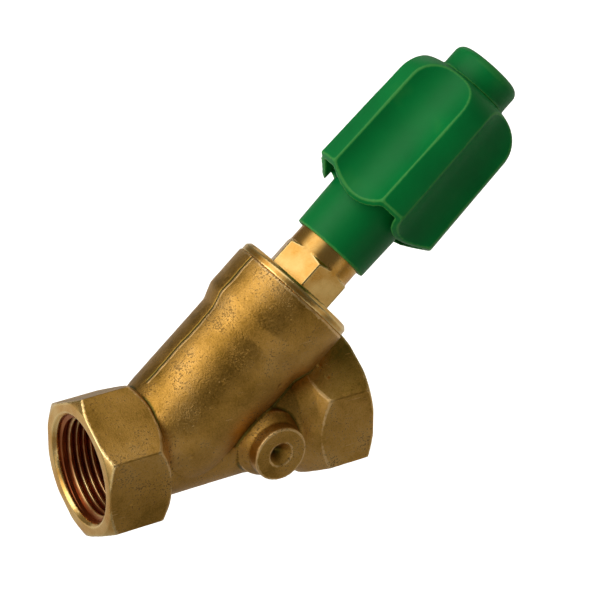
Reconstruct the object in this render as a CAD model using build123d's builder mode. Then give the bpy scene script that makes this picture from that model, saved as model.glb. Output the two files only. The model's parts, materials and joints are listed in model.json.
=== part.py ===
# Angle seat valve, Rp 1: bronze Y-pattern body with a screwed bonnet, a swivelling
# disc on a rising stem and a fluted plastic handwheel.
#
# Millimetres. The origin is the centre of the inlet thread's mouth, +X runs along
# the pipe to the outlet and +Z is up. The branch leans over the run towards the
# outlet. Stations on the branch are distances along its axis from the run axis.

import os
from math import cos, radians, sin, sqrt, tan

from build123d import *

os.makedirs("parts", exist_ok=True)

# Run and end hexagons
face_to_face = 90.0
thread_radius = 16.62           # Rp 1 major radius, where the crests of the thread start
thread_length = 17.0
mouth_depth = 1.0               # 45 degree countersink ahead of the thread
hexagon_flats = 41.0
inlet_hexagon_length = 20.4
outlet_hexagon_length = 18.4
end_face_radius = 20.7          # flat ring left by the hexagon's front chamfer
front_chamfer_angle = 30.0
rear_chamfer_angle = 45.0
hexagon_overlap = 1.0           # how far the run goes into each hexagon
run_radius = 15.0
run_bore_radius = 12.5
inlet_passage_reach = 2.0       # past the point where the two axes cross
outlet_passage_setback = 22.0   # from that point to where the outlet passage opens into the chamber
outlet_flare_start = 50.0       # where the run starts to widen towards the outlet
outlet_flare_end = 65.8
outlet_flare_radius = 17.4

# Branch
branch_angle = 40.0
branch_x = 23.8                 # where the branch axis crosses the run axis
neck_radius = 18.3
collar_radius = 20.15
neck_foot_radius = 12.5         # the neck draws in to this at its foot, inside the run
neck_foot_station = -4.0
neck_straight_station = 12.0
collar_start = 43.5
collar_full = 48.7
collar_blend = 4.0
collar_top = 62.3
chamber_radius = 15.2
neck_thread_radius = 16.5
neck_thread_length = 12.3

# Seat
throat_radius = 11.0
seat_floor = 12.0
seat_lip_height = 1.2
seat_lip_width = 1.5
throat_depth = 22.0
throat_nose = 6.0               # tapered end of the throat's cutter
throat_nose_radius = 8.8

# Side boss, left blank for a drain
boss_x = 55.3
boss_radius = 8.65
boss_reach = 22.5
boss_foot_radius = 10.8
boss_foot_height = 3.5
dimple_radius = 4.0
dimple_depth = 2.4

# Bonnet
flange_radius = 19.75
flange_thickness = 3.15
flange_round = 1.1
bonnet_flats = 21.6
bonnet_hexagon_length = 9.3
bonnet_chamfer_angle = 30.0
bonnet_turn = 143.4             # angle of one corner of the bonnet hexagon about the branch
gland_radius = 10.8
seal_ring_width = 1.6
seal_ring_height = 1.3
seal_ring_chamfer = 0.25
bonnet_top = 90.0
stem_thread_length = 12.0
stuffing_radius = 8.0
stuffing_floor = 76.0
thread_relief_radius = 6.7

# Stem
stem_thread_radius = 6.0
stem_radius = 5.0
stem_thread_low = 43.0
stem_thread_high = 65.0
stem_head_radius = 6.0
stem_head_thickness = 3.0
stem_waist_radius = 4.2
stem_collar_radius = 8.2
stem_collar_thickness = 3.0
stem_pitch = 3.0
stem_turns = 3.5                # from shut to fully open
square_size = 7.6

# Disc
disc_radius = 14.2
disc_thickness = 5.0
disc_rim_depth = 2.5
seal_thickness = 3.0
seal_radius = 13.1
seal_bore_radius = 5.0
hub_radius = 9.2
hub_height = 12.0
disc_chamfer = 0.6
hub_floor = 2.6                 # solid metal left between the disc plate and the stem head
clip_thickness = 1.5
clip_groove_depth = 1.0
clip_gap = 3.0
swivel_thickness = 0.6
retainer_radius = 8.8
retainer_thickness = 1.5
retainer_chamfer = 0.4
seal_screw_radius = 3.0
seal_screw_flats = 9.0
seal_screw_head = 3.0
seal_screw_reach = 7.0

# Packing
packing_washer_thickness = 1.0
packing_ring_height = 2.2
packing_ring_count = 3
packing_chamfer = 0.3
follower_thickness = 1.5
gland_nut_flats = 17.0
gland_nut_head = 3.5
wiper_thickness = 1.2
wiper_depth = 1.4

# Handwheel
sleeve_bottom = 79.9
sleeve_radius = 12.65
sleeve_draft = 1.3
sleeve_wall = 1.45
deck_underside = 96.0
land_bottom = 99.5
rim_slope = 32.0                # the bottom rim rises outwards, so the flutes end in tabs
skirt_bottom_radius = 23.2
skirt_draft = 1.35
shoulder_radius = 10.6
wheel_top = 144.0
skirt_wall = 2.2
flute_count = 5
flute_turn = 119.0              # angle of one flute's middle about the branch
flute_half_angle = 24.7
flute_radius = 14.5
insert_radius = 7.0
insert_length = 14.0
post_radius = 9.5               # round the screw well, above the insert
screw_well_radius = 6.2
wheel_screw_radius = 2.5
wheel_screw_head_radius = 4.6
wheel_screw_head = 3.0
wheel_screw_socket_flats = 5.0
wheel_screw_socket_depth = 1.5
spring_washer_thickness = 1.0
spring_washer_overhang = 1.0
wheel_screw_reach = 9.0
cap_radius = 11.5
cap_height = 8.6
cap_round = 2.8
cap_plug_length = 5.0
cap_lip = 0.5

# Fits
running_clearance = 0.08
seat_clearance = 0.05
thread_clearance = 0.05
free_clearance = 0.4

# Directions on the branch
lean = radians(branch_angle)
branch_direction = Vector(cos(lean), 0, sin(lean))
branch_up = Vector(-sin(lean), 0, cos(lean))
branch_origin = Vector(branch_x, 0, 0)
branch_axis = Axis(branch_origin, branch_direction)
run_axis = Axis((0, 0, 0), (1, 0, 0))

# Profile plane of everything turned about the branch: x is radius, y is station
branch_section = Plane(origin=branch_origin, x_dir=-branch_up, z_dir=(0, -1, 0))

# Profile plane of everything turned about the run: x is along the run, y is radius
run_section = Plane(origin=(0, 0, 0), x_dir=(1, 0, 0), z_dir=(0, -1, 0))


def station(distance):
    """Plane square to the branch; its angles count from +Y towards the branch's upper side."""
    return Plane(branch_origin + branch_direction * distance, x_dir=(0, 1, 0), z_dir=branch_direction)


def around_branch(angle):
    """Unit direction square to the branch, at an angle from +Y towards the branch's upper side."""
    return Vector(0, 1, 0) * cos(radians(angle)) + branch_up * sin(radians(angle))


def band(inner, outer, low, high):
    """Rectangle between two radii and two stations, in the current sketch."""
    with Locations(((inner + outer) / 2, (low + high) / 2)):
        Rectangle(outer - inner, high - low)


def save(piece, name):
    piece.part.label = name
    export_step(piece.part, f"parts/{name}.step")


# Places along the run
inlet_face = -mouth_depth
outlet_face = inlet_face + face_to_face
inlet_hexagon_rear = inlet_face + inlet_hexagon_length
outlet_hexagon_rear = outlet_face - outlet_hexagon_length
inlet_thread_end = thread_length
outlet_thread_end = outlet_face - mouth_depth - thread_length
corner_radius = hexagon_flats / sqrt(3)
inlet_passage_end = branch_x + inlet_passage_reach
outlet_passage_start = branch_x + outlet_passage_setback

# Stations on the branch
lift = stem_turns * stem_pitch
throat_low = seat_floor - throat_depth
seat_top = seat_floor + seat_lip_height
seal_low = seat_top + seat_clearance
seal_high = seal_low + seal_thickness
disc_low = seal_high - disc_rim_depth
plate_high = seal_high + disc_thickness
hub_high = plate_high + hub_height
head_floor = plate_high + hub_floor
head_low = head_floor + swivel_thickness + seat_clearance
head_high = head_low + stem_head_thickness
clip_low = head_high + seat_clearance
clip_high = clip_low + clip_thickness
bonnet_bottom = collar_top - neck_thread_length
collar_stop = bonnet_bottom - lift - free_clearance
flange_top = collar_top + flange_thickness
hexagon_top = flange_top + bonnet_hexagon_length
packing_low = stuffing_floor + packing_washer_thickness
packing_high = packing_low + packing_ring_count * packing_ring_height
follower_high = packing_high + follower_thickness
gland_nut_top = bonnet_top + gland_nut_head
wiper_low = gland_nut_top - wiper_thickness
insert_low = deck_underside + skirt_wall
insert_high = insert_low + insert_length
stem_top = insert_high - seat_clearance
wheel_screw_low = stem_top - wheel_screw_reach
skirt_low = land_bottom - (skirt_bottom_radius - sleeve_radius) * tan(radians(rim_slope))
retainer_low = seal_low - retainer_thickness
seal_screw_tip = seal_high + seal_screw_reach
clip_groove_radius = stem_head_radius + clip_groove_depth

# Round the stem in the stuffing box
packing_bore = stem_radius + running_clearance
packing_outside = stuffing_radius - thread_clearance


# ---------------------------------------------------------------- body

def end_hexagon(face, rear, direction):
    """Spanner hexagon on one end of the run, corners up and down, chamfered at both faces."""
    length = abs(rear - face)
    front_slope = tan(radians(front_chamfer_angle))
    rear_slope = tan(radians(rear_chamfer_angle))
    front_depth = (corner_radius - end_face_radius) * front_slope
    rear_depth = (corner_radius - hexagon_flats / 2) * rear_slope
    with BuildPart() as hexagon:
        with BuildSketch(Plane(origin=(face, 0, 0), x_dir=(0, 0, 1), z_dir=(direction, 0, 0))):
            RegularPolygon(corner_radius, 6)
        extrude(amount=length)
        with BuildSketch(run_section):
            with BuildLine():
                Polyline(
                    (face, 0),
                    (face, end_face_radius),
                    (face + direction * front_depth, corner_radius),
                    (rear - direction * rear_depth, corner_radius),
                    (rear, hexagon_flats / 2),
                    (rear, 0),
                    close=True,
                )
            make_face()
        revolve(axis=run_axis, mode=Mode.INTERSECT)
    return hexagon.part


inlet_hexagon = end_hexagon(inlet_face, inlet_hexagon_rear, 1)
outlet_hexagon = end_hexagon(outlet_face, outlet_hexagon_rear, -1)

with BuildPart() as valve_body:
    # run between the hexagons, flared towards the outlet
    with BuildSketch(run_section):
        with BuildLine():
            Polyline(
                (inlet_hexagon_rear - hexagon_overlap, 0),
                (inlet_hexagon_rear - hexagon_overlap, run_radius),
                (outlet_flare_start, run_radius),
                (outlet_flare_end, outlet_flare_radius),
                (outlet_hexagon_rear, hexagon_flats / 2),
                (outlet_hexagon_rear + hexagon_overlap, hexagon_flats / 2),
                (outlet_hexagon_rear + hexagon_overlap, 0),
                close=True,
            )
        make_face()
    revolve(axis=run_axis)

    # neck and collar of the branch, drawn in at the foot so that it dies into the run
    with BuildSketch(branch_section):
        with BuildLine():
            foot = TangentArc(
                (neck_radius, neck_straight_station),
                (neck_foot_radius, neck_foot_station),
                tangent=(0, -1),
            )
            Polyline(
                foot @ 0,
                (neck_radius, collar_start),
                (collar_radius, collar_full),
                (collar_radius, collar_top),
                (0, collar_top),
                (0, neck_foot_station),
                foot @ 1,
            )
        make_face()
        fillet(vertices().sort_by_distance((neck_radius, collar_start))[0], collar_blend)
        fillet(vertices().sort_by_distance((collar_radius, collar_full))[0], collar_blend)
    revolve(axis=branch_axis)

    add(inlet_hexagon)
    add(outlet_hexagon)

    # blank side boss with a flared foot and a conical centre mark
    boss_axis = Axis((boss_x, 0, 0), (0, -1, 0))
    with BuildSketch(Plane(origin=(boss_x, 0, 0), x_dir=(1, 0, 0), z_dir=(0, 0, 1))):
        with BuildLine():
            Polyline(
                (0, 0),
                (boss_foot_radius, 0),
                (boss_foot_radius, -run_radius),
                (boss_radius, -run_radius - boss_foot_height),
                (boss_radius, -boss_reach),
                (dimple_radius, -boss_reach),
                (0, -boss_reach + dimple_depth),
                close=True,
            )
        make_face()
    revolve(axis=boss_axis)

    # thread bores with their countersinks, and the passages behind them
    with BuildSketch(run_section):
        with BuildLine():
            Polyline(
                (inlet_face, 0),
                (inlet_face, thread_radius + mouth_depth),
                (0, thread_radius),
                (inlet_thread_end, thread_radius),
                (inlet_thread_end, run_bore_radius),
                (inlet_passage_end, run_bore_radius),
                (inlet_passage_end, 0),
                close=True,
            )
        make_face()
        with BuildLine():
            Polyline(
                (outlet_face, 0),
                (outlet_face, thread_radius + mouth_depth),
                (outlet_face - mouth_depth, thread_radius),
                (outlet_thread_end, thread_radius),
                (outlet_thread_end, run_bore_radius),
                (outlet_passage_start, run_bore_radius),
                (outlet_passage_start, 0),
                close=True,
            )
        make_face()
    revolve(axis=run_axis, mode=Mode.SUBTRACT)

    # throat, seat lip, disc chamber and bonnet thread
    with BuildSketch(branch_section):
        with BuildLine():
            Polyline(
                (0, throat_low),
                (throat_nose_radius, throat_low + throat_nose / 2),
                (throat_radius, throat_low + throat_nose),
                (throat_radius, seat_top),
                (throat_radius + seat_lip_width, seat_top),
                (throat_radius + seat_lip_width, seat_floor),
                (chamber_radius, seat_floor),
                (chamber_radius, bonnet_bottom),
                (neck_thread_radius, bonnet_bottom),
                (neck_thread_radius, collar_top - seal_ring_height),
                (neck_thread_radius + seal_ring_width, collar_top - seal_ring_height),
                (neck_thread_radius + seal_ring_width, collar_top),
                (0, collar_top),
                close=True,
            )
        make_face()
    revolve(axis=branch_axis, mode=Mode.SUBTRACT)
save(valve_body, "valve_body")


# ---------------------------------------------------------------- bonnet and packing

with BuildPart() as bonnet:
    with BuildSketch(station(flange_top)):
        RegularPolygon(bonnet_flats / 2, 6, major_radius=False, rotation=bonnet_turn)
    extrude(amount=bonnet_hexagon_length)
    chamfer_rise = (bonnet_flats - gland_radius) * tan(radians(bonnet_chamfer_angle))
    with BuildSketch(branch_section):
        with BuildLine():
            Polyline(
                (0, flange_top),
                (bonnet_flats, flange_top),
                (bonnet_flats, hexagon_top - chamfer_rise),
                (gland_radius, hexagon_top),
                (0, hexagon_top),
                close=True,
            )
        make_face()
    revolve(axis=branch_axis, mode=Mode.INTERSECT)
    # flange, threaded shank and gland neck
    with BuildSketch(branch_section):
        band(0, neck_thread_radius - thread_clearance, bonnet_bottom, collar_top)
        with BuildLine():
            Polyline(
                (0, collar_top),
                (flange_radius, collar_top),
                (flange_radius, flange_top - flange_round),
                (flange_radius - flange_round, flange_top),
                (0, flange_top),
                close=True,
            )
        make_face()
        band(0, gland_radius, flange_top, bonnet_top)
    revolve(axis=branch_axis)
    # stem thread, relief and stuffing box
    with BuildSketch(branch_section):
        stem_thread_end = bonnet_bottom + stem_thread_length
        band(0, stem_thread_radius + running_clearance, bonnet_bottom, stem_thread_end)
        band(0, thread_relief_radius, stem_thread_end, stuffing_floor)
        band(0, stuffing_radius, stuffing_floor, bonnet_top)
    revolve(axis=branch_axis, mode=Mode.SUBTRACT)
save(bonnet, "bonnet")

with BuildPart() as bonnet_seal_ring:
    with BuildSketch(branch_section):
        outer = neck_thread_radius + seal_ring_width - seat_clearance
        band(neck_thread_radius, outer, collar_top - seal_ring_height, collar_top)
        chamfer(vertices(), seal_ring_chamfer)
    revolve(axis=branch_axis)
save(bonnet_seal_ring, "bonnet_seal_ring")

with BuildPart() as packing_washer:
    with BuildSketch(branch_section):
        band(packing_bore, packing_outside, stuffing_floor, packing_low)
    revolve(axis=branch_axis)
save(packing_washer, "packing_washer")

# packing rings: a face-to-face stack, each a square-section ring with eased corners
for index in range(packing_ring_count):
    ring_low = packing_low + index * packing_ring_height
    with BuildPart() as packing_ring:
        with BuildSketch(branch_section):
            band(packing_bore, packing_outside, ring_low, ring_low + packing_ring_height)
            chamfer(vertices(), packing_chamfer)
        revolve(axis=branch_axis)
    save(packing_ring, f"packing_ring_{index + 1}")

with BuildPart() as packing_follower:
    with BuildSketch(branch_section):
        band(packing_bore, packing_outside, packing_high, follower_high)
    revolve(axis=branch_axis)
save(packing_follower, "packing_follower")

with BuildPart() as gland_nut:
    with BuildSketch(station(bonnet_top)):
        RegularPolygon(gland_nut_flats / 2, 6, major_radius=False)
    extrude(amount=gland_nut_head)
    with BuildSketch(branch_section):
        band(0, packing_outside, follower_high, bonnet_top)
    revolve(axis=branch_axis)
    with BuildSketch(branch_section):
        band(0, packing_bore, follower_high, gland_nut_top)
        band(0, stem_radius + wiper_depth + seat_clearance, wiper_low, gland_nut_top)
    revolve(axis=branch_axis, mode=Mode.SUBTRACT)
save(gland_nut, "gland_nut")

with BuildPart() as stem_wiper:
    with BuildSketch(branch_section):
        band(packing_bore, stem_radius + wiper_depth, wiper_low, gland_nut_top)
    revolve(axis=branch_axis)
save(stem_wiper, "stem_wiper")


# ---------------------------------------------------------------- disc

with BuildPart() as disc_holder:
    with BuildSketch(branch_section):
        band(0, disc_radius, disc_low, plate_high)
        band(0, hub_radius, plate_high, hub_high)
        chamfer(vertices().group_by(Axis.X)[-1], disc_chamfer)
    revolve(axis=branch_axis)
    with BuildSketch(branch_section):
        band(0, seal_radius + seat_clearance, disc_low, seal_high)
        band(0, seal_screw_radius + seat_clearance, seal_high, seal_screw_tip)
        band(0, stem_head_radius + running_clearance, head_floor, hub_high)
        band(0, clip_groove_radius + seat_clearance, clip_low - seat_clearance, clip_high)
    revolve(axis=branch_axis, mode=Mode.SUBTRACT)
save(disc_holder, "disc_holder")

with BuildPart() as disc_seal:
    with BuildSketch(branch_section):
        band(seal_bore_radius, seal_radius, seal_low, seal_high)
    revolve(axis=branch_axis)
save(disc_seal, "disc_seal")

with BuildPart() as seal_retainer:
    # cupped washer: its boss fills the seal's bore, its rim holds the seal down
    with BuildSketch(branch_section):
        band(seal_screw_radius + seat_clearance, retainer_radius, retainer_low, seal_low)
        band(seal_screw_radius + seat_clearance, seal_bore_radius - seat_clearance, seal_low, seal_high)
    revolve(axis=branch_axis)
    bottom_edges = edges().filter_by(GeomType.CIRCLE).sort_by(SortBy.RADIUS)[-2:]
    chamfer(bottom_edges.sort_by(branch_axis)[0], retainer_chamfer)
save(seal_retainer, "seal_retainer")

with BuildPart() as seal_screw:
    with BuildSketch(station(retainer_low)):
        RegularPolygon(seal_screw_flats / 2, 6, major_radius=False)
    extrude(amount=-seal_screw_head)
    with BuildSketch(branch_section):
        band(0, seal_screw_radius, retainer_low, seal_screw_tip - free_clearance)
    revolve(axis=branch_axis)
save(seal_screw, "seal_screw")

with BuildPart() as swivel_washer:
    with BuildSketch(branch_section):
        band(0, stem_head_radius - seat_clearance, head_floor, head_floor + swivel_thickness)
    revolve(axis=branch_axis)
save(swivel_washer, "swivel_washer")

with BuildPart() as stem_clip:
    # internal circlip: an open ring whose rim snaps into the hub's groove
    with BuildSketch(station(clip_low)):
        Circle(clip_groove_radius)
        Circle(stem_waist_radius + free_clearance, mode=Mode.SUBTRACT)
        with Locations((stem_head_radius, 0)):
            Rectangle(stem_head_radius, clip_gap, mode=Mode.SUBTRACT)
    extrude(amount=clip_thickness - seat_clearance)
save(stem_clip, "stem_clip")


# ---------------------------------------------------------------- stem and handwheel

with BuildPart() as stem:
    with BuildSketch(branch_section):
        band(0, stem_head_radius, head_low, head_high)
        band(0, stem_waist_radius, head_high, hub_high + free_clearance)
        band(0, stem_radius, hub_high + free_clearance, insert_low)
        band(0, stem_collar_radius, collar_stop - stem_collar_thickness, collar_stop)
        band(0, stem_thread_radius, stem_thread_low, stem_thread_high)
    revolve(axis=branch_axis)
    with BuildSketch(station(insert_low)):
        Rectangle(square_size, square_size)
    extrude(amount=stem_top - insert_low)
    with BuildSketch(station(stem_top)):
        Circle(wheel_screw_radius + seat_clearance)
    extrude(amount=-wheel_screw_reach - free_clearance, mode=Mode.SUBTRACT)
save(stem, "stem")


def wheel_shell(inset):
    """Fluted outside of the skirt, moved inwards by an inset, from below the rim up to the top."""
    low = skirt_low
    high = wheel_top - inset
    low_radius = skirt_bottom_radius - inset
    high_radius = low_radius - (high - low) * tan(radians(skirt_draft))
    with BuildPart() as shell:
        with BuildSketch(branch_section):
            with BuildLine():
                Polyline((0, low), (low_radius, low), (high_radius, high), (0, high), close=True)
            make_face()
            fillet(vertices().sort_by_distance((high_radius, high))[0], shoulder_radius - inset)
        revolve(axis=branch_axis)
        # each flute is a round cutter laid parallel to the drafted outside
        ridge_radius = skirt_bottom_radius * cos(radians(flute_half_angle))
        half_chord = skirt_bottom_radius * sin(radians(flute_half_angle))
        scoop_distance = ridge_radius + sqrt(flute_radius**2 - half_chord**2)
        for index in range(flute_count):
            outwards = around_branch(flute_turn + 360 * index / flute_count)
            foot_of_cutter = branch_origin + branch_direction * low + outwards * scoop_distance
            along_cutter = branch_direction - outwards * tan(radians(skirt_draft))
            cutter_plane = Plane(foot_of_cutter, branch_direction.cross(outwards), along_cutter)
            with BuildSketch(cutter_plane):
                Circle(flute_radius + inset)
            extrude(amount=high - low + flute_radius, both=True, mode=Mode.SUBTRACT)
    return shell.part


def below_rim():
    """Everything under the sloping bottom rim, which leaves a bow-edged tab below each flute."""
    reach = skirt_bottom_radius + skirt_wall
    with BuildPart() as waste:
        with BuildSketch(branch_section):
            with BuildLine():
                Polyline(
                    (sleeve_radius, skirt_low),
                    (reach, skirt_low + (reach - sleeve_radius) * tan(radians(rim_slope))),
                    (reach, skirt_low - skirt_wall),
                    (sleeve_radius, skirt_low - skirt_wall),
                    close=True,
                )
            make_face()
        revolve(axis=branch_axis)
    return waste.part


# grip: a thin fluted shell, open below, that rests on the post of the sleeve
sleeve_top = wheel_top - skirt_wall
with BuildPart() as handwheel:
    add(wheel_shell(0))
    add(wheel_shell(skirt_wall), mode=Mode.SUBTRACT)
    add(below_rim(), mode=Mode.SUBTRACT)
    with BuildSketch(branch_section):
        band(0, screw_well_radius, sleeve_top, wheel_top)
    revolve(axis=branch_axis, mode=Mode.SUBTRACT)
save(handwheel, "handwheel")

# sleeve over the bonnet's gland, with the hub that holds the insert and a post up to the grip
with BuildPart() as handwheel_sleeve:
    sleeve_end_radius = sleeve_radius + (insert_high - sleeve_bottom) * tan(radians(sleeve_draft))
    with BuildSketch(branch_section):
        with BuildLine():
            Polyline(
                (0, sleeve_bottom),
                (sleeve_radius, sleeve_bottom),
                (sleeve_end_radius, insert_high),
                (post_radius, insert_high),
                (post_radius, sleeve_top),
                (0, sleeve_top),
                close=True,
            )
        make_face()
    revolve(axis=branch_axis)
    with BuildSketch(branch_section):
        band(0, sleeve_radius - sleeve_wall, sleeve_bottom, deck_underside)
        band(0, stem_radius + free_clearance, deck_underside, insert_low)
        band(0, insert_radius, insert_low, insert_high)
        band(0, screw_well_radius, insert_high, sleeve_top)
    revolve(axis=branch_axis, mode=Mode.SUBTRACT)
save(handwheel_sleeve, "handwheel_sleeve")

with BuildPart() as handwheel_insert:
    with BuildSketch(branch_section):
        band(0, insert_radius, insert_low, insert_high)
    revolve(axis=branch_axis)
    with BuildSketch(station(insert_low)):
        Rectangle(square_size + 2 * seat_clearance, square_size + 2 * seat_clearance)
    extrude(amount=insert_length, mode=Mode.SUBTRACT)
save(handwheel_insert, "handwheel_insert")

with BuildPart() as spring_washer:
    with BuildSketch(branch_section):
        washer_radius = wheel_screw_head_radius + spring_washer_overhang
        washer_top = insert_high + spring_washer_thickness
        band(wheel_screw_radius + seat_clearance, washer_radius, insert_high, washer_top)
    revolve(axis=branch_axis)
save(spring_washer, "spring_washer")

with BuildPart() as handwheel_screw:
    head_base = insert_high + spring_washer_thickness
    with BuildSketch(branch_section):
        band(0, wheel_screw_radius, wheel_screw_low, head_base)
        band(0, wheel_screw_head_radius, head_base, head_base + wheel_screw_head)
    revolve(axis=branch_axis)
    with BuildSketch(station(head_base + wheel_screw_head)):
        RegularPolygon(wheel_screw_socket_flats / 2, 6, major_radius=False)
    extrude(amount=-wheel_screw_socket_depth, mode=Mode.SUBTRACT)
save(handwheel_screw, "handwheel_screw")

with BuildPart() as handwheel_cap:
    with BuildSketch(branch_section):
        with BuildLine():
            Polyline(
                (0, wheel_top),
                (cap_radius + cap_lip, wheel_top),
                (cap_radius + cap_lip, wheel_top + cap_lip),
                (cap_radius, wheel_top + cap_lip),
                (cap_radius, wheel_top + cap_height),
                (0, wheel_top + cap_height),
                close=True,
            )
        make_face()
        fillet(vertices().sort_by_distance((cap_radius, wheel_top + cap_height))[0], cap_round)
        band(0, screw_well_radius - seat_clearance, wheel_top - cap_plug_length, wheel_top)
    revolve(axis=branch_axis)
    with BuildSketch(branch_section):
        cap_hollow_top = wheel_top + cap_height - skirt_wall
        band(0, screw_well_radius - skirt_wall, wheel_top - cap_plug_length, cap_hollow_top)
    revolve(axis=branch_axis, mode=Mode.SUBTRACT)
save(handwheel_cap, "handwheel_cap")
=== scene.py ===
import json
import math
import bpy
import bmesh
import numpy as np
from mathutils import Matrix, Vector

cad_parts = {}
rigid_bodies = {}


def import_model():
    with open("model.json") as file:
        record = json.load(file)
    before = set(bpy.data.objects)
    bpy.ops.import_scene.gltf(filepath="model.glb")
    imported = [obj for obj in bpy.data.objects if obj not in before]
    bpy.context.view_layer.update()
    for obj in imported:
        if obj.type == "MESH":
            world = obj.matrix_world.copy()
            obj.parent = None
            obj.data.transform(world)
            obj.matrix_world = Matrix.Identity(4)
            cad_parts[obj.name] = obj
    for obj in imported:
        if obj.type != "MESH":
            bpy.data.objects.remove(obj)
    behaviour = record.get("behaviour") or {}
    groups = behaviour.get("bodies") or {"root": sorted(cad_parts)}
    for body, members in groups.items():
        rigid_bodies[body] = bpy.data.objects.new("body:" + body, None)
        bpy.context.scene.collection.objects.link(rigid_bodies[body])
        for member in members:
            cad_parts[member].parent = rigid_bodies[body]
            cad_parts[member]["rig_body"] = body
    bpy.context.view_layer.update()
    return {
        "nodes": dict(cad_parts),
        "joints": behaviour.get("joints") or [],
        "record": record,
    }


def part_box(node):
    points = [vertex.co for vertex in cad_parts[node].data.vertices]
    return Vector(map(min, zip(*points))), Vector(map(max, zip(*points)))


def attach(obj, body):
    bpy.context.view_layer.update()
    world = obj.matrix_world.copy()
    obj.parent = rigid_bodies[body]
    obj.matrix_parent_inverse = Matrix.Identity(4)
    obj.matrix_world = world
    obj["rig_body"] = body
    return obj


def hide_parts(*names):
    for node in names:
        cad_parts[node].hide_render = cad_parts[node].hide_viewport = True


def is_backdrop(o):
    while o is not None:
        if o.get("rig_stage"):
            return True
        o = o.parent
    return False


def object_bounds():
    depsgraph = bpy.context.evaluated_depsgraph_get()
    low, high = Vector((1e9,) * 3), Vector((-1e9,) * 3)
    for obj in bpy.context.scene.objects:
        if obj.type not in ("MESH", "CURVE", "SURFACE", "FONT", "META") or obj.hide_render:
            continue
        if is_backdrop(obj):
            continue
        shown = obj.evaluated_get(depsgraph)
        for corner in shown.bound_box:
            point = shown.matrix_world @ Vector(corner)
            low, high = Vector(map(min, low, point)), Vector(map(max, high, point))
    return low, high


# Angle seat valve: cast body, turned bonnet, moulded handwheel.
# Lengths are in metres; the branch leans over the run in the XZ plane.
mm = 0.001
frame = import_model()
nodes = frame["nodes"]

stemJoint = next(joint for joint in frame["joints"] if joint["name"] == "stem_turn")
branchDirection = Vector(stemJoint["axis"]).normalized()
branchUp = Vector((-branchDirection.z, 0, branchDirection.x))
ports = {mount["name"]: mount for mount in frame["record"]["mounts"]}
print("frame loaded:", len(nodes), "nodes")


# small tools for trees, colours and meshes

def liveSocket(sockets, name):
    # a Mix node has one A, B and Result for each kind of data, and only one set is in use
    return next(socket for socket in sockets if socket.name == name and socket.enabled)


def linear(colour):
    channels = [int(colour[i:i + 2], 16) / 255 for i in (1, 3, 5)]
    return tuple(c / 12.92 if c <= 0.04045 else ((c + 0.055) / 1.055) ** 2.4 for c in channels) + (1.0,)


def plug(tree, node, inputs):
    # sockets by name or number; each takes a link or a plain value
    for name, value in inputs.items():
        socket = node.inputs[name] if isinstance(name, int) else liveSocket(node.inputs, name)
        if isinstance(value, bpy.types.NodeSocket):
            tree.links.new(value, socket)
        else:
            socket.default_value = value


def addNode(tree, kind, inputs=None, stops=(), **settings):
    node = tree.nodes.new(kind)
    for name, value in settings.items():
        setattr(node, name, value)
    plug(tree, node, inputs or {})
    for i, (place, colour) in enumerate(stops):
        elements = node.color_ramp.elements
        element = elements[i] if i < len(elements) else elements.new(place)
        element.position = place
        element.color = linear(colour)
    return node


def span(fromLow, fromHigh, toLow=0.0, toHigh=1.0):
    # the four limits of a Map Range node
    return {"From Min": fromLow, "From Max": fromHigh, "To Min": toLow, "To Max": toHigh}


def newMaterial(name):
    material = bpy.data.materials.new(name)
    material.use_nodes = True
    tree = material.node_tree
    shader = tree.nodes["Principled BSDF"]
    place = addNode(tree, "ShaderNodeTexCoord").outputs["Object"]
    return material, tree, shader, place


def addPiece(name, mesh, body, slot, materials):
    piece = bpy.data.objects.new(name, mesh)
    bpy.context.scene.collection.objects.link(piece)
    mesh.materials.clear()
    for material in materials:
        mesh.materials.append(material)
    mesh["wantedBody"] = body
    mesh["wantedSlot"] = slot
    return piece


def settle(piece):
    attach(piece, piece.data["wantedBody"])


mergeDistance = 0.002 * mm


def mergedCopy(nodeName, name):
    mesh = nodes[nodeName].data.copy()
    mesh.name = name
    work = bmesh.new()
    work.from_mesh(mesh)
    bmesh.ops.remove_doubles(work, verts=work.verts, dist=mergeDistance)
    work.to_mesh(mesh)
    work.free()
    return mesh


def freeze(piece):
    depsgraph = bpy.context.evaluated_depsgraph_get()
    body, slot = piece.data["wantedBody"], piece.data["wantedSlot"]
    mesh = bpy.data.meshes.new_from_object(piece.evaluated_get(depsgraph), depsgraph=depsgraph)
    piece.modifiers.clear()
    piece.data = mesh
    mesh["wantedBody"], mesh["wantedSlot"] = body, slot


def readTriples(items, field):
    values = np.empty(len(items) * 3)
    items.foreach_get(field, values)
    return values.reshape(-1, 3)


def paintVertices(mesh, name, values):
    attribute = mesh.attributes.new(name, "FLOAT", "POINT")
    attribute.data.foreach_set("value", values.astype(np.float32))


def smoothFaces(mesh):
    mesh.polygons.foreach_set("use_smooth", np.ones(len(mesh.polygons), bool))


def countTriangles(mesh):
    return sum(len(polygon.vertices) - 2 for polygon in mesh.polygons)


def addVoxelSkin(piece, size):
    remesh = piece.modifiers.new("skin", "REMESH")
    remesh.mode = "VOXEL"
    remesh.voxel_size = size
    remesh.use_smooth_shade = True


def addSmoothing(piece, passes, group=""):
    smooth = piece.modifiers.new("roundEdges", "SMOOTH")
    smooth.factor = 0.5
    smooth.iterations = passes
    smooth.vertex_group = group


def addThinning(piece, most):
    triangles = countTriangles(piece.data)
    if triangles > most:
        thin = piece.modifiers.new("thin", "DECIMATE")
        thin.ratio = most / triangles
    return triangles


bendSettings = {"passes": 2, "shortest": 0.001 * mm}


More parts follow.
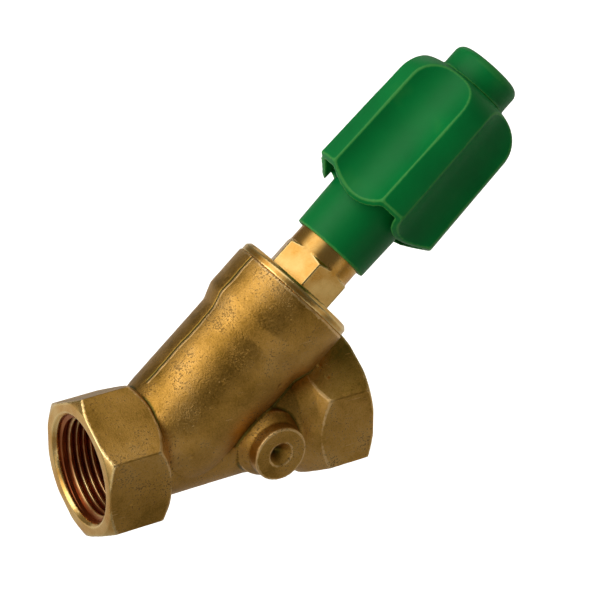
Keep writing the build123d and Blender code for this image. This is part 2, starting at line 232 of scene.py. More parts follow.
def markEdges(mesh, settings):
    # how sharply the surface bends at each vertex, in 1/mm, for edges lightened by wear and painted highlight, and
    # darker corners
    places = readTriples(mesh.vertices, "co")
    normals = readTriples(mesh.vertices, "normal")
    ends = np.empty(len(mesh.edges) * 2, np.int32)
    mesh.edges.foreach_get("vertices", ends)
    first, second = ends.reshape(-1, 2).T
    count = np.bincount(ends, minlength=len(places)).clip(1)

    def aroundEach(values):
        total = np.bincount(first, values[second], len(places)) + np.bincount(second, values[first], len(places))
        return total / count

    lengths = np.linalg.norm(places[first] - places[second], axis=1)
    spacing = (np.bincount(first, lengths, len(places)) + np.bincount(second, lengths, len(places))) / count
    middle = np.stack([aroundEach(places[:, axis]) for axis in range(3)], axis=1)
    sink = ((middle - places) * normals).sum(axis=1)
    bend = -4 * sink / spacing.clip(settings["shortest"]) ** 2
    for _ in range(settings["passes"]):
        bend = 0.5 * bend + 0.5 * aroundEach(bend)
    paintVertices(mesh, "edge", np.clip(bend * mm, -1, 1))


# materials

castSettings = {
    "stain": "#7E6E32", "deep": "#A27830", "mid": "#D2A050", "bright": "#F6CC8C", "pit": "#64441C",
    "patch": 16 * mm, "grain": 0.55 * mm, "pitSize": 0.55 * mm, "cluster": 8 * mm, "dentSpacing": 9 * mm,
    "wear": 1.6 * mm, "scratch": 7 * mm, "scratchThinness": 16, "scratchTurn": (0.4, 0.9, 0.7),
    "partingWidth": 0.22 * mm, "partingWander": 0.8 * mm, "partingBend": 7 * mm,
    "roughness": (0.30, 0.42), "bumpDepth": 0.22 * mm,
}


def partingMark(tree, place, settings):
    # the step and thin flash where the two mould halves met, along the middle plane: the flash is raised and
    # lightened as a painted highlight, the groove beside it sunk and darkened as painted shade
    width, most = settings["partingWidth"], settings["partingWander"]
    split = addNode(tree, "ShaderNodeSeparateXYZ", {"Vector": place})
    wander = addNode(tree, "ShaderNodeTexNoise",
                     {"Vector": place, "Scale": 1 / settings["partingBend"], "Detail": 2.0}).outputs["Fac"]
    shift = addNode(tree, "ShaderNodeMapRange", {"Value": wander, **span(0.0, 1.0, -most, most)}).outputs["Result"]
    across = addNode(tree, "ShaderNodeMath", {0: split.outputs["Y"], 1: shift}, operation="ADD").outputs["Value"]
    away = addNode(tree, "ShaderNodeMath", {0: across}, operation="ABSOLUTE").outputs["Value"]
    mask = addNode(tree, "ShaderNodeAttribute", attribute_name="parting").outputs["Fac"]
    flashAndHighlight = addNode(tree, "ShaderNodeMapRange",
                    {"Value": away, **span(width, 2 * width, 1.0, 0.0)}).outputs["Result"]
    flashAndHighlight = addNode(tree, "ShaderNodeMath", {0: flashAndHighlight, 1: mask}, operation="MULTIPLY").outputs["Value"]
    grooveAndShade = addNode(tree, "ShaderNodeMapRange",
                     {"Value": across, **span(2 * width, 3 * width)}).outputs["Result"]
    fade = addNode(tree, "ShaderNodeMapRange",
                   {"Value": across, **span(4 * width, 6 * width, 1.0, 0.0)}).outputs["Result"]
    grooveAndShade = addNode(tree, "ShaderNodeMath", {0: grooveAndShade, 1: fade}, operation="MULTIPLY").outputs["Value"]
    grooveAndShade = addNode(tree, "ShaderNodeMath", {0: grooveAndShade, 1: mask}, operation="MULTIPLY").outputs["Value"]
    return flashAndHighlight, grooveAndShade


def sandCastBronze(settings):
    # sand-cast bronze, tumbled clean: satin gold skin, fine dark pits in clusters, edges lightened by wear and
    # painted highlight, darker hollows, and a parting line with painted highlight and shade
    material, tree, shader, place = newMaterial("sandCastBronze")
    patch = addNode(tree, "ShaderNodeTexNoise", {
        "Vector": place, "Scale": 1 / settings["patch"], "Detail": 5.0, "Roughness": 0.6}).outputs["Fac"]
    grain = addNode(tree, "ShaderNodeTexNoise", {
        "Vector": place, "Scale": 1 / settings["grain"], "Detail": 3.0, "Roughness": 0.7}).outputs["Fac"]
    edge = addNode(tree, "ShaderNodeAttribute", attribute_name="edge").outputs["Fac"]

    # pits gather in clusters, with a few dents and scratches from handling
    cluster = addNode(tree, "ShaderNodeTexNoise",
                      {"Vector": place, "Scale": 1 / settings["cluster"], "Detail": 2.0}).outputs["Fac"]
    pits = addNode(tree, "ShaderNodeTexNoise", {
        "Vector": place, "Scale": 1 / settings["pitSize"], "Detail": 1.5, "Roughness": 0.6}).outputs["Fac"]
    gathered = addNode(tree, "ShaderNodeMath", {0: cluster, 1: 0.5, 2: pits}, operation="MULTIPLY_ADD")
    pitted = addNode(tree, "ShaderNodeMapRange",
                     {"Value": gathered.outputs["Value"], **span(0.87, 0.95, 0.0, 0.6)}).outputs["Result"]
    dents = addNode(tree, "ShaderNodeTexVoronoi",
                    {"Vector": place, "Scale": 1 / settings["dentSpacing"], "Randomness": 1.0})
    dented = addNode(tree, "ShaderNodeMapRange",
                     {"Value": dents.outputs["Distance"], **span(0.03, 0.11, -2.2, 0.0)}).outputs["Result"]
    thinness = settings["scratchThinness"]
    drawnOut = addNode(tree, "ShaderNodeMapping", {
        "Vector": place, "Rotation": settings["scratchTurn"], "Scale": (1, thinness, thinness)})
    streaks = addNode(tree, "ShaderNodeTexNoise", {
        "Vector": drawnOut.outputs["Vector"], "Scale": 1 / settings["scratch"], "Detail": 1.0})
    scratched = addNode(tree, "ShaderNodeMapRange",
                        {"Value": streaks.outputs["Fac"], **span(0.74, 0.78)}).outputs["Result"]

    # edges lightened in places by wear and a painted highlight; concave hollows darker
    wear = addNode(tree, "ShaderNodeTexNoise",
                   {"Vector": place, "Scale": 1 / settings["wear"], "Detail": 2.0}).outputs["Fac"]
    sharp = addNode(tree, "ShaderNodeMapRange", {"Value": edge, **span(0.25, 0.8, 0.0, 0.8)}).outputs["Result"]
    uneven = addNode(tree, "ShaderNodeMapRange", {"Value": wear, **span(0.4, 0.6, 0.35, 1.0)}).outputs["Result"]
    wearAndHighlight = addNode(tree, "ShaderNodeMath", {0: sharp, 1: uneven}, operation="MULTIPLY").outputs["Value"]
    hollow = addNode(tree, "ShaderNodeMapRange", {"Value": edge, **span(-0.9, -0.12, 0.26, 0.0)}).outputs["Result"]
    flashAndHighlight, grooveAndShade = partingMark(tree, place, settings)

    # tone runs from stain through gold to bright worn and highlighted edges; the parting flash adds a painted
    # highlight and the groove beside it painted shade
    tone = addNode(tree, "ShaderNodeMix", {"Factor": 0.35, "A": patch, "B": grain})
    tone = liveSocket(tone.outputs, "Result")
    for mark, strength in ((wearAndHighlight, 1.0), (hollow, -1.0), (scratched, 0.25), (flashAndHighlight, 0.6), (grooveAndShade, -0.35)):
        tone = addNode(tree, "ShaderNodeMath", {0: mark, 1: strength, 2: tone},
                       operation="MULTIPLY_ADD").outputs["Value"]
    metal = addNode(tree, "ShaderNodeValToRGB", {"Fac": tone}, stops=[
        (0.26, settings["stain"]), (0.38, settings["deep"]), (0.52, settings["mid"]), (0.80, settings["bright"])])
    colour = addNode(tree, "ShaderNodeMix", {
        "Factor": pitted, "A": metal.outputs["Color"], "B": linear(settings["pit"])}, data_type="RGBA")
    rough = addNode(tree, "ShaderNodeMapRange", {"Value": grain, **span(0.3, 0.7, *settings["roughness"])})

    height = grain
    for mark, strength in ((pitted, -1.0), (dented, 1.0), (scratched, -0.8), (flashAndHighlight, 1.6), (grooveAndShade, -1.6)):
        height = addNode(tree, "ShaderNodeMath", {0: mark, 1: strength, 2: height},
                         operation="MULTIPLY_ADD").outputs["Value"]
    bump = addNode(tree, "ShaderNodeBump", {"Strength": 0.6, "Distance": settings["bumpDepth"], "Height": height})
    plug(tree, shader, {"Base Color": liveSocket(colour.outputs, "Result"), "Metallic": 1.0,
                        "Roughness": rough.outputs["Result"], "Normal": bump.outputs["Normal"]})
    return material


turnedSettings = {
    "mid": "#DA9E46", "bright": "#F0C67C", "wearAndHighlight": "#FFE0A0", "grain": 1.2 * mm, "patch": 9 * mm,
    "roughness": (0.2, 0.3), "bumpDepth": 0.02 * mm,
}
# painted shade: a darker, redder copy of the turned brass for the threaded bores and thread ridges, standing in for
# the shade and coloured interreflection inside the ports
shadedThreadSettings = {**turnedSettings, "mid": "#A05C38", "bright": "#BE784A", "roughness": (0.26, 0.38)}


def turnedBrass(settings, name):
    # turned brass: pale gold, nearly smooth, with faint tool chatter and handling stains
    material, tree, shader, place = newMaterial(name)
    patch = addNode(tree, "ShaderNodeTexNoise", {
        "Vector": place, "Scale": 1 / settings["patch"], "Detail": 5.0, "Roughness": 0.6}).outputs["Fac"]
    grain = addNode(tree, "ShaderNodeTexNoise",
                    {"Vector": place, "Scale": 1 / settings["grain"], "Detail": 2.0}).outputs["Fac"]
    edge = addNode(tree, "ShaderNodeAttribute", attribute_name="edge").outputs["Fac"]
    # edges lightened: wear and a painted highlight along the edges
    wearAndHighlight = addNode(tree, "ShaderNodeMapRange", {"Value": edge, **span(0.2, 0.8, 0.0, 0.3)}).outputs["Result"]
    tone = addNode(tree, "ShaderNodeMath", {0: patch, 1: wearAndHighlight}, operation="ADD").outputs["Value"]
    colour = addNode(tree, "ShaderNodeValToRGB", {"Fac": tone}, stops=[
        (0.35, settings["mid"]), (0.65, settings["bright"]), (0.95, settings["wearAndHighlight"])])
    smoothest, roughest = settings["roughness"]
    rough = addNode(tree, "ShaderNodeMapRange", {"Value": patch, **span(0.3, 0.7, roughest, smoothest)})
    bump = addNode(tree, "ShaderNodeBump", {"Strength": 0.4, "Distance": settings["bumpDepth"], "Height": grain})
    plug(tree, shader, {"Base Color": colour.outputs["Color"], "Metallic": 1.0,
                        "Roughness": rough.outputs["Result"], "Normal": bump.outputs["Normal"]})
    return material


plasticSettings = {
    "mid": "#008C42", "deep": "#007E3C", "wearAndHighlight": "#44A44E", "patch": 20 * mm, "texture": 0.8 * mm,
    "roughness": (0.40, 0.50), "bumpDepth": 0.014 * mm, "ior": 1.5, "sheen": 0.22,
}


def mouldedGreenPlastic(settings):
    # injection-moulded polyamide: even green, fine spark-eroded texture, soft sheen
    material, tree, shader, place = newMaterial("mouldedGreenPlastic")
    patch = addNode(tree, "ShaderNodeTexNoise",
                    {"Vector": place, "Scale": 1 / settings["patch"], "Detail": 3.0}).outputs["Fac"]
    texture = addNode(tree, "ShaderNodeTexNoise",
                      {"Vector": place, "Scale": 1 / settings["texture"], "Detail": 2.0}).outputs["Fac"]
    edge = addNode(tree, "ShaderNodeAttribute", attribute_name="edge").outputs["Fac"]
    # edges lightened: wear and a painted highlight along the moulded edges
    wearAndHighlight = addNode(tree, "ShaderNodeMapRange", {"Value": edge, **span(0.3, 1.0, 0.0, 0.6)}).outputs["Result"]
    tone = addNode(tree, "ShaderNodeMath", {0: patch, 1: wearAndHighlight}, operation="ADD").outputs["Value"]
    colour = addNode(tree, "ShaderNodeValToRGB", {"Fac": tone}, stops=[
        (0.3, settings["deep"]), (0.62, settings["mid"]), (1.0, settings["wearAndHighlight"])])
    rough = addNode(tree, "ShaderNodeMapRange", {"Value": texture, **span(0.3, 0.7, *settings["roughness"])})
    bump = addNode(tree, "ShaderNodeBump", {"Strength": 0.5, "Distance": settings["bumpDepth"], "Height": texture})
    plug(tree, shader, {"Base Color": colour.outputs["Color"], "Roughness": rough.outputs["Result"],
                        "IOR": settings["ior"], "Specular IOR Level": settings["sheen"],
                        "Normal": bump.outputs["Normal"]})
    return material


nitrileSettings = {"deep": "#17181A", "mid": "#242528", "speckle": 0.7 * mm, "roughness": (0.6, 0.75)}
graphiteSettings = {**nitrileSettings, "deep": "#1C1C1E"}


def mouldedRubber(settings, name):
    # moulded nitrile and graphited packing: black, matt, faintly speckled
    material, tree, shader, place = newMaterial(name)
    speckle = addNode(tree, "ShaderNodeTexNoise",
                      {"Vector": place, "Scale": 1 / settings["speckle"], "Detail": 2.0}).outputs["Fac"]
    colour = addNode(tree, "ShaderNodeValToRGB", {"Fac": speckle},
                     stops=[(0.4, settings["deep"]), (0.65, settings["mid"])])
    rough = addNode(tree, "ShaderNodeMapRange", {"Value": speckle, **span(0.3, 0.7, *settings["roughness"])})
    plug(tree, shader, {"Base Color": colour.outputs["Color"], "Roughness": rough.outputs["Result"]})
    return material


steelSettings = {"deep": "#8C8C88", "mid": "#B4B4B0", "grain": 1.1 * mm, "roughness": (0.25, 0.38)}


def turnedStainless(settings):
    # turned stainless steel: grey, satin, with a fine grain
    material, tree, shader, place = newMaterial("turnedStainless")
    grain = addNode(tree, "ShaderNodeTexNoise",
                    {"Vector": place, "Scale": 1 / settings["grain"], "Detail": 3.0}).outputs["Fac"]
    colour = addNode(tree, "ShaderNodeValToRGB", {"Fac": grain},
                     stops=[(0.35, settings["deep"]), (0.65, settings["mid"])])
    rough = addNode(tree, "ShaderNodeMapRange", {"Value": grain, **span(0.3, 0.7, *settings["roughness"])})
    plug(tree, shader, {"Base Color": colour.outputs["Color"], "Metallic": 1.0, "Roughness": rough.outputs["Result"]})
    return material


castBronze = sandCastBronze(castSettings)
brass = turnedBrass(turnedSettings, "turnedBrass")
shadedPortBronze = turnedBrass(shadedThreadSettings, "shadedThreadBronze")
greenPlastic = mouldedGreenPlastic(plasticSettings)
sealRubber = mouldedRubber(nitrileSettings, "mouldedNitrile")
packingRubber = mouldedRubber(graphiteSettings, "graphitedPacking")
stainless = turnedStainless(steelSettings)
finishes = {
    "cast_bronze": castBronze, "machined_brass": brass, "packing_rubber": packingRubber,
    "seal_rubber": sealRubber, "stainless": stainless, "green_plastic": greenPlastic,
}
for row in frame["record"]["subparts"]:
    mesh = nodes[row["node"]].data
    mesh.materials.clear()
    mesh.materials.append(finishes[row["material_slot"]])
print("materials ready")


# cast body: the solid's own shape with its edges rounded as a casting's are

bodySettings = {
    "voxel": 0.4 * mm, "passes": 4, "unevenness": 0.08 * mm, "unevenSize": 3.2 * mm, "triangles": 192000,
    # turned end faces and bores
    "faceRing": 20.7 * mm, "frontChamfer": math.radians(30), "turnedDepth": 0.35 * mm,
    "boreWall": 1.3 * mm, "rimDepth": 1.4 * mm, "threadRunOut": 2 * mm,
    # parting line: how far it starts behind the inlet, and how flat the skin lies where it shows
    "partingFrom": 24 * mm, "partingFlatness": (0.6, 0.8),
    # cone in the side boss
    "bossPlace": 55.3 * mm, "bossFace": 3.2 * mm, "markRadius": 3.8 * mm, "markDepth": 1.7 * mm,
}


def machinedParts(places, settings):
    # the turned end faces with their chamfers, and the threaded bores
    low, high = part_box("valve_body")
    thread = ports["inlet_thread"]["dims"]
    runRadius = np.hypot(places[:, 1], places[:, 2])
    fromEnd = np.minimum(places[:, 0] - low.x, high.x - places[:, 0])
    turnedCone = (runRadius - settings["faceRing"]) * math.tan(settings["frontChamfer"])
    face = fromEnd < np.maximum(turnedCone, 0) + settings["turnedDepth"]
    mouth = runRadius < thread["r_mm"] * mm + settings["boreWall"]
    rim = mouth & (fromEnd < settings["rimDepth"])
    return face | rim, mouth & ~rim & (fromEnd < thread["length_mm"] * mm + settings["threadRunOut"])


def markParting(mesh, settings):
    # where the mould halves' line shows: on top of the branch and under the run, behind the inlet hexagon
    places = readTriples(mesh.vertices, "co")
    normals = readTriples(mesh.vertices, "normal")
    facing = np.maximum(normals @ np.array(branchUp), -normals[:, 2])
    low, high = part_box("valve_body")
    least, most = settings["partingFlatness"]
    shows = np.clip((facing - least) / (most - least), 0, 1) * (places[:, 0] > low.x + settings["partingFrom"])
    paintVertices(mesh, "parting", shows * (places[:, 0] < high.x - settings["turnedDepth"]))


def deepenMark(mesh, settings):
    # the cone in the middle of the side boss, sunk to its full depth after the smoothing
    places = readTriples(mesh.vertices, "co")
    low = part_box("valve_body")[0]
    fromAxis = np.hypot(places[:, 0] - settings["bossPlace"], places[:, 2])
    onFace = places[:, 1] < low.y + settings["bossFace"]
    share = np.clip(1 - fromAxis / settings["markRadius"], 0, 1)
    places[:, 1] += onFace * share * settings["markDepth"]
    mesh.vertices.foreach_set("co", places.ravel())


def shapeBody(settings):
    piece = addPiece("valve_body_casting", mergedCopy("valve_body", "valve_body_casting"),
                     "root", "cast_bronze", [castBronze, brass, shadedPortBronze])
    addVoxelSkin(piece, settings["voxel"])
    freeze(piece)
    face, bore = machinedParts(readTriples(piece.data.vertices, "co"), settings)
    group = piece.vertex_groups.new(name="cast")
    group.add([int(i) for i in np.flatnonzero(~(face | bore))], 1.0, "REPLACE")
    addSmoothing(piece, settings["passes"], "cast")
    clouds = bpy.data.textures.new("castUnevenness", "CLOUDS")
    clouds.noise_scale = settings["unevenSize"]
    uneven = piece.modifiers.new("uneven", "DISPLACE")
    uneven.texture = clouds
    uneven.texture_coords = "LOCAL"
    uneven.strength = settings["unevenness"]
    uneven.mid_level = 0.6
    uneven.vertex_group = "cast"
    triangles = addThinning(piece, settings["triangles"])
    freeze(piece)
    mesh = piece.data
    deepenMark(mesh, settings)
    face, bore = machinedParts(readTriples(mesh.polygons, "center"), settings)
    # turned faces get the turned brass, threaded bores the darker copy that carries painted shade
    mesh.polygons.foreach_set("material_index", (face + 2 * bore).astype(np.int32))
    smoothFaces(mesh)
    markEdges(mesh, bendSettings)
    markParting(mesh, settings)
    settle(piece)
    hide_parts("valve_body")
    print("body casting:", triangles, "to", countTriangles(mesh), "triangles")


shapeBody(bodySettings)


# pipe threads: one swept ridge in each port

ridgeSettings = {
    "pitch": 2.309 * mm, "depth": 1.48 * mm, "base": 2.1 * mm, "crest": 0.35 * mm, "round": 0.16 * mm,
    "sink": 0.12 * mm, "steps": 96, "runOut": 0.07, "thinnest": 0.05,
}


def buildThreadTree():
    tree = bpy.data.node_groups.new("pipeThread", "GeometryNodeTree")
    for name, kind in (("Radius", "NodeSocketFloat"), ("Pitch", "NodeSocketFloat"), ("Turns", "NodeSocketFloat"),
                       ("Depth", "NodeSocketFloat"), ("Base Width", "NodeSocketFloat"),
                       ("Crest Width", "NodeSocketFloat"), ("Crest Round", "NodeSocketFloat"),
                       ("Run Out", "NodeSocketFloat"), ("Thinnest", "NodeSocketFloat"),
                       ("Steps", "NodeSocketInt"), ("Origin", "NodeSocketVector"),
                       ("Turned To", "NodeSocketVector"), ("Material", "NodeSocketMaterial")):
        tree.interface.new_socket(name, in_out="INPUT", socket_type=kind)
    tree.interface.new_socket("Geometry", in_out="OUTPUT", socket_type="NodeSocketGeometry")
    given = addNode(tree, "NodeGroupInput").outputs

    # the path: a helix as long as the thread
    height = addNode(tree, "ShaderNodeMath", {0: given["Pitch"], 1: given["Turns"]}, operation="MULTIPLY")
    helix = addNode(tree, "GeometryNodeCurveSpiral", {
        "Resolution": given["Steps"], "Rotations": given["Turns"], "Start Radius": given["Radius"],
        "End Radius": given["Radius"], "Height": height.outputs["Value"], "Reverse": True})
    upright = addNode(tree, "GeometryNodeSetCurveNormal", {"Curve": helix.outputs[0]}, mode="Z_UP")

    # the profile: a round-cornered ridge that points at the axis
    ridge = addNode(tree, "GeometryNodeCurvePrimitiveQuadrilateral", {
        "Bottom Width": given["Base Width"], "Top Width": given["Crest Width"], "Height": given["Depth"],
        "Offset": 0.0}, mode="TRAPEZOID")
    rounded = addNode(tree, "GeometryNodeFilletCurve", {
        "Curve": ridge.outputs[0], "Count": 3, "Radius": given["Crest Round"], "Limit Radius": True}, mode="POLY")
    middle = addNode(tree, "ShaderNodeMath", {0: given["Depth"], 1: 0.5}, operation="MULTIPLY")
    lift = addNode(tree, "ShaderNodeCombineXYZ", {"Y": middle.outputs["Value"]})
    standing = addNode(tree, "GeometryNodeTransform", {
        "Geometry": rounded.outputs[0], "Translation": lift.outputs["Vector"]})
    inwards = addNode(tree, "GeometryNodeTransform", {
        "Geometry": standing.outputs[0], "Rotation": (0, 0, math.pi / 2)})

    # the ridge grows out of the bore at one end and sinks back into it at the other
    along = addNode(tree, "GeometryNodeSplineParameter").outputs["Factor"]
    back = addNode(tree, "ShaderNodeMath", {0: 1.0, 1: along}, operation="SUBTRACT").outputs["Value"]
    nearest = addNode(tree, "ShaderNodeMath", {0: along, 1: back}, operation="MINIMUM").outputs["Value"]
    grown = addNode(tree, "ShaderNodeMapRange",
                    {"Value": nearest, "From Max": given["Run Out"], "To Min": given["Thinnest"]})
    swept = addNode(tree, "GeometryNodeCurveToMesh", {
        "Curve": upright.outputs[0], "Profile Curve": inwards.outputs[0], "Scale": grown.outputs["Result"],
        "Fill Caps": True})
    smooth = addNode(tree, "GeometryNodeSetShadeSmooth", {"Geometry": swept.outputs[0], "Shade Smooth": True})
    placed = addNode(tree, "GeometryNodeTransform", {
        "Geometry": smooth.outputs[0], "Translation": given["Origin"], "Rotation": given["Turned To"]})
    real = addNode(tree, "GeometryNodeRealizeInstances", {"Geometry": placed.outputs[0]})
    dressed = addNode(tree, "GeometryNodeSetMaterial", {"Geometry": real.outputs[0], "Material": given["Material"]})
    addNode(tree, "NodeGroupOutput", {"Geometry": dressed.outputs[0]})
    return tree


def cutThread(tree, portName, settings):
    port = ports[portName]
    radius = port["dims"]["r_mm"] * mm
    length = port["dims"]["length_mm"] * mm
    inwards = -Vector(port["axis"])
    values = {
        "Radius": radius + settings["sink"], "Pitch": settings["pitch"],
        "Turns": (length - settings["base"]) / settings["pitch"], "Depth": settings["depth"] + settings["sink"],
        "Base Width": settings["base"], "Crest Width": settings["crest"], "Crest Round": settings["round"],
        "Run Out": settings["runOut"], "Thinnest": settings["thinnest"], "Steps": settings["steps"],
        "Origin": tuple(Vector(port["pos_m"]) + inwards * settings["base"] * 0.5),
        "Turned To": (0, math.copysign(math.pi / 2, inwards.x), 0), "Material": shadedPortBronze,
    }
    piece = addPiece(portName + "_ridge", bpy.data.meshes.new(portName), "root", "machined_brass", [shadedPortBronze])
    modifier = piece.modifiers.new("thread", "NODES")
    modifier.node_group = tree
    for socket in tree.interface.items_tree:
        if socket.in_out == "INPUT":
            modifier[socket.identifier] = values[socket.name]
    freeze(piece)
    places = readTriples(piece.data.vertices, "co")
    height = (radius - np.hypot(places[:, 1], places[:, 2])) / settings["depth"]
    # the crest gets the lighter edge colour: wear and a painted highlight along the crest
    paintVertices(piece.data, "edge", np.clip(height, 0, 1) ** 4)  # only the crest is rubbed
    settle(piece)
    print("thread ridge:", portName, len(piece.data.polygons), "faces")


threadTree = buildThreadTree()
for portName in ("inlet_thread", "outlet_thread"):
    cutThread(threadTree, portName, ridgeSettings)


# turned and moulded pieces: crisp on the bonnet, softer on the handwheel

edgeSettings = {
    "bonnet": {"suffix": "turned", "voxel": 0.3 * mm, "passes": 2, "material": brass},
    "handwheel": {"suffix": "moulding", "voxel": 0.4 * mm, "passes": 6, "material": greenPlastic},
    "handwheel_sleeve": {"suffix": "moulding", "voxel": 0.4 * mm, "passes": 6, "material": greenPlastic},
    "handwheel_cap": {"suffix": "moulding", "voxel": 0.35 * mm, "passes": 6, "material": greenPlastic},
}
mostTriangles = 190000


def roundEdges(nodeName, settings):
    row = next(row for row in frame["record"]["subparts"] if row["node"] == nodeName)
    name = nodeName + "_" + settings["suffix"]
    piece = addPiece(name, mergedCopy(nodeName, name), nodes[nodeName]["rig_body"], row["material_slot"],
                     [settings["material"]])
    addVoxelSkin(piece, settings["voxel"])
    addSmoothing(piece, settings["passes"])
    freeze(piece)
    triangles = addThinning(piece, mostTriangles)
    freeze(piece)
    smoothFaces(piece.data)
    markEdges(piece.data, bendSettings)
    settle(piece)
    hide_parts(nodeName)
    print("edges rounded on", nodeName, triangles, "triangles")


for nodeName, settings in edgeSettings.items():
    roundEdges(nodeName, settings)


# camera, floor and light

cameraSettings = {
    "place": (-0.3213, -0.6639, 0.4640), "azimuth": 30.7063, "elevation": 28.8416, "roll": -0.4209,
    "focal": 2935.5, "frame": 590, "sensor": 36, "nearest": 0.01,
}


def placeCamera(settings):
    azimuth, elevation, roll = (math.radians(settings[key]) for key in ("azimuth", "elevation", "roll"))
    forwards = Vector((math.cos(elevation) * math.sin(azimuth), math.cos(elevation) * math.cos(azimuth),
                       -math.sin(elevation)))
    right = forwards.cross(Vector((0, 0, 1))).normalized()
    down = forwards.cross(right)
    rolledRight = right * math.cos(roll) + down * math.sin(roll)
    rolledDown = down * math.cos(roll) - right * math.sin(roll)
    data = bpy.data.cameras.new("camera")
    data.sensor_width = settings["sensor"]
    data.lens = settings["focal"] * settings["sensor"] / settings["frame"]
    data.clip_start = settings["nearest"]
    camera = bpy.data.objects.new("camera", data)
    bpy.context.scene.collection.objects.link(camera)
    turned = Matrix((rolledRight, -rolledDown, -forwards)).transposed()
    camera.matrix_world = Matrix.Translation(Vector(settings["place"])) @ turned.to_4x4()
    bpy.context.scene.camera = camera


placeCamera(cameraSettings)

studioSettings = {
    # a grey band of paper in front of the object, pale elsewhere; depth is Y plus a share of X
    "floorDrop": 30 * mm, "floorSize": 4.0, "floorFront": "#7C7C7C", "floorBack": "#F4F4F4",
    "floorDepths": (-0.24, 0.06), "floorSkew": 0.5, "floorGlow": 0.92,
    # how much of the pale background the metal shows, and the dim room before and behind
    "floorSheen": 0.08, "roomSheen": 0.05, "dark": 0.06, "far": 0.12, "roomDepths": (-0.3, 0.6),
    "lamps": [
        # name, place, size, watts
        ("keyLamp", (-0.98, 0.14, 0.66), 0.90, 2.9),
        ("farLamp", (0.70, 0.80, 0.45), 0.60, 0.4),
        ("topLamp", (0.10, -0.06, 0.50), 0.32, 0.14),
    ],
    "aim": (0.05, 0, 0.04),
    "softboxes": [
        # direction, level, cosine where it fades out, cosine where it is full
        ((-0.82, 0.12, 0.56), 0.90, 0.55, 0.75),
        ((-0.05, -0.05, 0.95), 0.35, 0.82, 0.95),
        ((0.95, -0.25, 0.00), 0.42, 0.80, 0.93),
        ((0.62, 0.74, 0.25), 0.60, 0.80, 0.95),
    ],
    "shutters": ((-0.55, -0.25), (0.66, 0.40)),  # each from where it is shut to where it is open, along Y
    "cool": "#F8F6DC", "warm": "#FFFAEC",
}


def paperFloor(settings):
    # seamless paper sweep: plain and matt
    material, tree, shader, place = newMaterial("paperSweep")
    ray = addNode(tree, "ShaderNodeLightPath").outputs
    split = addNode(tree, "ShaderNodeSeparateXYZ", {"Vector": place})
    skewed = addNode(tree, "ShaderNodeMath", {
        0: split.outputs["X"], 1: settings["floorSkew"], 2: split.outputs["Y"]}, operation="MULTIPLY_ADD")
    depth = addNode(tree, "ShaderNodeMapRange",
                    {"Value": skewed.outputs["Value"], **span(*settings["floorDepths"])})
    front, back = settings["floorFront"], settings["floorBack"]
    colour = addNode(tree, "ShaderNodeValToRGB", {"Fac": depth.outputs["Result"]},
                     stops=[(0.2, back), (0.45, front), (0.63, front), (1.0, back)])
    glow = addNode(tree, "ShaderNodeMath", {0: ray["Is Camera Ray"], 1: settings["floorGlow"]}, operation="MULTIPLY")
    glow = addNode(tree, "ShaderNodeMath", {
        0: ray["Is Glossy Ray"], 1: settings["floorSheen"], 2: glow.outputs["Value"]}, operation="MULTIPLY_ADD")
    plug(tree, shader, {"Base Color": colour.outputs["Color"], "Roughness": 0.95, "Specular IOR Level": 0.1,
                        "Emission Color": (1, 1, 1, 1), "Emission Strength": glow.outputs["Value"]})
    return material


def hangLamps(settings):
    for name, place, size, watts in settings["lamps"]:
        data = bpy.data.lights.new(name, "AREA")
        data.shape = "DISK"
        data.size = size
        data.energy = watts
        lamp = bpy.data.objects.new(name, data)
        bpy.context.scene.collection.objects.link(lamp)
        lamp.location = place
        towards = Vector(settings["aim"]) - Vector(place)
        lamp.rotation_euler = towards.to_track_quat("-Z", "Y").to_euler()


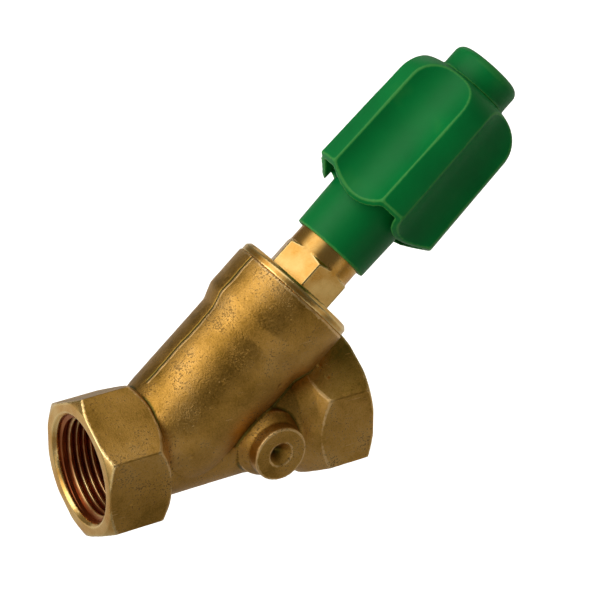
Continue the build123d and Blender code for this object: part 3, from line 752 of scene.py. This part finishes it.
def surroundings(settings):
    # softboxes to the left, overhead, right and behind, a dim room elsewhere, white where the room itself is seen
    world = bpy.data.worlds.new("studio")
    bpy.context.scene.world = world
    world.use_nodes = True
    tree = world.node_tree
    towards = addNode(tree, "ShaderNodeTexCoord").outputs["Generated"]
    depth = addNode(tree, "ShaderNodeSeparateXYZ", {"Vector": towards}).outputs["Y"]
    level = addNode(tree, "ShaderNodeMapRange", {
        "Value": depth, **span(*settings["roomDepths"], settings["dark"], settings["far"])}).outputs["Result"]
    for direction, strength, fades, full in settings["softboxes"]:
        facing = addNode(tree, "ShaderNodeVectorMath", {0: towards, 1: Vector(direction).normalized()},
                         operation="DOT_PRODUCT")
        box = addNode(tree, "ShaderNodeMapRange", {
            "Value": facing.outputs["Value"], **span(fades, full, 0.0, strength)},
            interpolation_type="SMOOTHSTEP").outputs["Result"]
        for shut, opened in settings["shutters"]:
            shutter = addNode(tree, "ShaderNodeMapRange", {"Value": depth, **span(shut, opened)})
            box = addNode(tree, "ShaderNodeMath", {0: box, 1: shutter.outputs["Result"]},
                          operation="MULTIPLY").outputs["Value"]
        level = addNode(tree, "ShaderNodeMath", {0: level, 1: box}, operation="ADD").outputs["Value"]
    ray = addNode(tree, "ShaderNodeLightPath").outputs
    seen = addNode(tree, "ShaderNodeMath", {0: ray["Is Camera Ray"], 1: ray["Is Transmission Ray"]},
                   operation="MAXIMUM").outputs["Value"]
    seen = addNode(tree, "ShaderNodeMath", {0: ray["Is Glossy Ray"], 1: settings["roomSheen"], 2: seen},
                   operation="MULTIPLY_ADD", use_clamp=True).outputs["Value"]
    shown = addNode(tree, "ShaderNodeMix", {"Factor": seen, "A": level, "B": 1.0})
    tint = addNode(tree, "ShaderNodeValToRGB", {"Fac": level},
                   stops=[(0.2, settings["cool"]), (0.9, settings["warm"])])
    plain = addNode(tree, "ShaderNodeMix", {"Factor": seen, "A": tint.outputs["Color"], "B": (1, 1, 1, 1)},
                    data_type="RGBA")
    plug(tree, tree.nodes["Background"], {"Color": liveSocket(plain.outputs, "Result"),
                                          "Strength": liveSocket(shown.outputs, "Result")})


def buildStudio(settings):
    half = settings["floorSize"] / 2
    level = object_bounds()[0].z - settings["floorDrop"]
    mesh = bpy.data.meshes.new("floor")
    mesh.from_pydata([(-half, -half, level), (half, -half, level), (half, half, level), (-half, half, level)],
                     [], [(0, 1, 2, 3)])
    floor = bpy.data.objects.new("floor", mesh)
    bpy.context.scene.collection.objects.link(floor)
    mesh.materials.append(paperFloor(settings))
    floor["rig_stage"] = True
    hangLamps(settings)
    surroundings(settings)
    bpy.context.scene.view_settings.view_transform = "Standard"


buildStudio(studioSettings)
print("camera, floor and lights placed")
